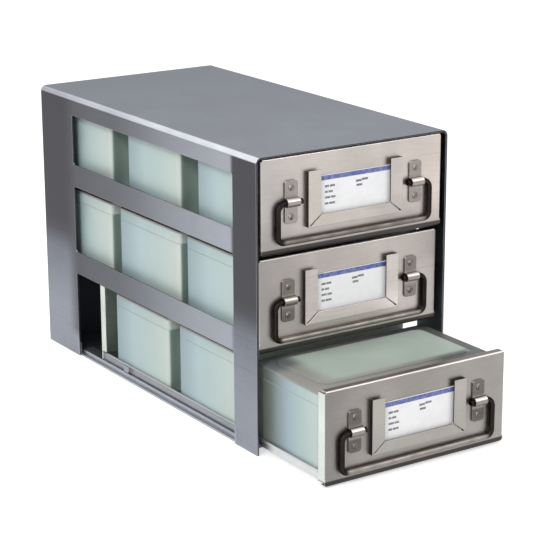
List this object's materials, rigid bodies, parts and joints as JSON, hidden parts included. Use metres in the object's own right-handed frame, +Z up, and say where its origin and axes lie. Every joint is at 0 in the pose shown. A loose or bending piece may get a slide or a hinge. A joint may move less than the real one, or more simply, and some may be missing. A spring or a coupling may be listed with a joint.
{
  "type": "freezer storage rack",
  "caption": "Sheet-steel freezer rack, open at the sides, with sliding drawers that have hinged bail handles and label holders and carry rows of lidded plastic storage boxes.",
  "frame": {"origin": "on the rest face, under the middle of the frame", "axes": "+Z up, -Y towards the drawer fronts, +X to the right as seen from the front"},
  "size_m": [0.14, 0.3393, 0.1828],
  "materials": {
    "frame_steel": "brushed stainless steel, cool grey",
    "drawer_steel": "satin stainless steel, lighter and warmer",
    "wire_steel": "drawn steel wire, dark",
    "box_plastic": "frosted translucent polypropylene, pale aqua",
    "lid_plastic": "frosted polypropylene, pale green",
    "card": "white card with a blue head stripe"
  },
  "bodies": {
    "frame": {"frame_shell": "frame_steel", "frame_base": "frame_steel", "frame_back": "frame_steel", "runner_1_left": "frame_steel", "runner_1_right": "frame_steel", "runner_2_left": "frame_steel", "runner_2_right": "frame_steel", "base_runner_left": "frame_steel", "base_runner_right": "frame_steel", "stop_pins": "frame_steel"},
    "drawer_1": {"tray_1": "drawer_steel", "front_1": "drawer_steel", "drawer_back_1": "drawer_steel", "label_holder_1": "drawer_steel", "label_card_1": "card", "bail_clips_1": "drawer_steel", "box_1_front": "box_plastic", "box_1_middle": "box_plastic", "box_1_rear": "box_plastic", "lid_1_front": "lid_plastic", "lid_1_middle": "lid_plastic", "lid_1_rear": "lid_plastic"},
    "bail_1": {"bail_1": "wire_steel"},
    "drawer_2": {"tray_2": "drawer_steel", "front_2": "drawer_steel", "drawer_back_2": "drawer_steel", "label_holder_2": "drawer_steel", "label_card_2": "card", "bail_clips_2": "drawer_steel", "box_2_front": "box_plastic", "box_2_middle": "box_plastic", "box_2_rear": "box_plastic", "lid_2_front": "lid_plastic", "lid_2_middle": "lid_plastic", "lid_2_rear": "lid_plastic"},
    "bail_2": {"bail_2": "wire_steel"},
    "drawer_3": {"tray_3": "drawer_steel", "front_3": "drawer_steel", "drawer_back_3": "drawer_steel", "label_holder_3": "drawer_steel", "label_card_3": "card", "bail_clips_3": "drawer_steel", "box_3_front": "box_plastic", "box_3_middle": "box_plastic", "box_3_rear": "box_plastic", "lid_3_front": "lid_plastic", "lid_3_middle": "lid_plastic", "lid_3_rear": "lid_plastic"},
    "bail_3": {"bail_3": "wire_steel"}
  },
  "joints": [
    {"name": "drawer_1_slide", "type": "slide", "parent": "frame", "child": "drawer_1", "axis": [0, -1, 0], "range_m": [-0.0032, 0.2132]},
    {"name": "bail_1_hinge", "type": "hinge", "parent": "drawer_1", "child": "bail_1", "pos_m": [0, -0.1363, 0.1536], "axis": [-1, 0, 0], "range_deg": [0, 175]},
    {"name": "drawer_2_slide", "type": "slide", "parent": "frame", "child": "drawer_2", "axis": [0, -1, 0], "range_m": [0, 0.2164]},
    {"name": "bail_2_hinge", "type": "hinge", "parent": "drawer_2", "child": "bail_2", "pos_m": [0, -0.1331, 0.0926], "axis": [-1, 0, 0], "range_deg": [0, 175]},
    {"name": "drawer_3_slide", "type": "slide", "parent": "frame", "child": "drawer_3", "axis": [0, -1, 0], "range_m": [-0.0684, 0.148]},
    {"name": "bail_3_hinge", "type": "hinge", "parent": "drawer_3", "child": "bail_3", "pos_m": [0, -0.2015, 0.0316], "axis": [-1, 0, 0], "range_deg": [0, 175]}
  ]
}
